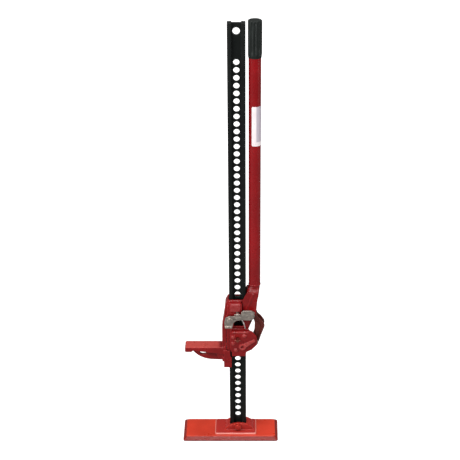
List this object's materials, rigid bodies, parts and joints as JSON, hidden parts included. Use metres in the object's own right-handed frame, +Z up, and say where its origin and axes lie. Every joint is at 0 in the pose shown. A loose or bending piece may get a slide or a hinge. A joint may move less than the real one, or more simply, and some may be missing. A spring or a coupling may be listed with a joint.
{
  "type": "high-lift farm jack",
  "caption": "Tall perforated bar on a flat base, with a ratchet climbing mechanism, a lifting nose and a long tubular handle.",
  "frame": {"origin": "on the floor under the centre of the climbing bar", "axes": "+Z up along the bar, +X towards the handle, -Y towards the front, where the reversing latch is; the lifting nose points along -X"},
  "size_m": [0.2705, 0.102, 1.222],
  "materials": {
    "base_paint": "orange-red gloss enamel on a steel plate",
    "red_enamel": "glossy dark red enamel on castings and tube",
    "black_paint": "semi-gloss black paint, worn at the climbing holes",
    "zinc_plate": "zinc plated, satin",
    "pin_steel": "oiled hardened steel",
    "spring_steel": "bright drawn spring wire",
    "grip_rubber": "matt dark grey rubber with ribs along it",
    "label_film": "blank pale printed film"
  },
  "bodies": {
    "base": {"base_plate": "base_paint", "standard_bar": "black_paint", "base_bolt": "base_paint", "base_nut": "base_paint"},
    "large_runner": {"large_runner": "red_enamel", "latch_bolt": "zinc_plate", "latch_washer": "zinc_plate", "detent_spring": "spring_steel", "upper_pin_spring": "spring_steel"},
    "handle": {"handle_socket": "red_enamel", "handle_pin": "red_enamel", "handle_tube": "red_enamel", "handle_grip": "grip_rubber", "handle_label": "label_film", "pivot_bolt": "zinc_plate", "pivot_nut": "zinc_plate", "crank_pin_front": "zinc_plate", "crank_pin_rear": "zinc_plate"},
    "pitmans": {"pitman_front": "red_enamel", "pitman_rear": "red_enamel"},
    "small_runner": {"small_runner": "red_enamel", "shear_bolt": "zinc_plate", "shear_nut": "zinc_plate", "shear_washer_front": "zinc_plate", "shear_washer_rear": "zinc_plate", "lower_pin_spring": "spring_steel"},
    "upper_pin": {"upper_climbing_pin": "pin_steel", "upper_cross_pin": "pin_steel"},
    "lower_pin": {"lower_climbing_pin": "pin_steel", "lower_cross_pin": "pin_steel"},
    "latch": {"reversing_latch": "zinc_plate"}
  },
  "joints": [
    {"name": "runner_slide", "type": "slide", "parent": "base", "child": "large_runner", "axis": [0, 0, 1], "range_m": [-0.18576, 0.70176]},
    {"name": "handle_pivot", "type": "hinge", "parent": "large_runner", "child": "handle", "pos_m": [0.032, 0, 0.396], "axis": [0, 1, 0], "range_deg": [0, 95]},
    {"name": "small_runner_slide", "type": "slide", "parent": "large_runner", "child": "small_runner", "axis": [0, 0, 1], "range_m": [-0.02065, 0]},
    {"name": "pitman_pivot", "type": "hinge", "parent": "handle", "child": "pitmans", "pos_m": [0.04146, 0, 0.40632], "axis": [0, 1, 0], "range_deg": [-95.1, 0]},
    {"name": "upper_pin_slide", "type": "slide", "parent": "large_runner", "child": "upper_pin", "axis": [0, 1, 0], "range_m": [0, 0.0082], "deforming": ["upper_pin_spring"]},
    {"name": "lower_pin_slide", "type": "slide", "parent": "small_runner", "child": "lower_pin", "axis": [0, 1, 0], "range_m": [0, 0.0082], "deforming": ["lower_pin_spring"]},
    {"name": "latch_turn", "type": "hinge", "parent": "large_runner", "child": "latch", "pos_m": [-0.022, 0, 0.392], "axis": [0, 1, 0], "range_deg": [0, 25]}
  ],
  "couplings": [
    {"joint": "small_runner_slide", "follows": "handle_pivot", "m_per_rad": -0.012448},
    {"joint": "pitman_pivot", "follows": "handle_pivot", "ratio": -1}
  ]
}
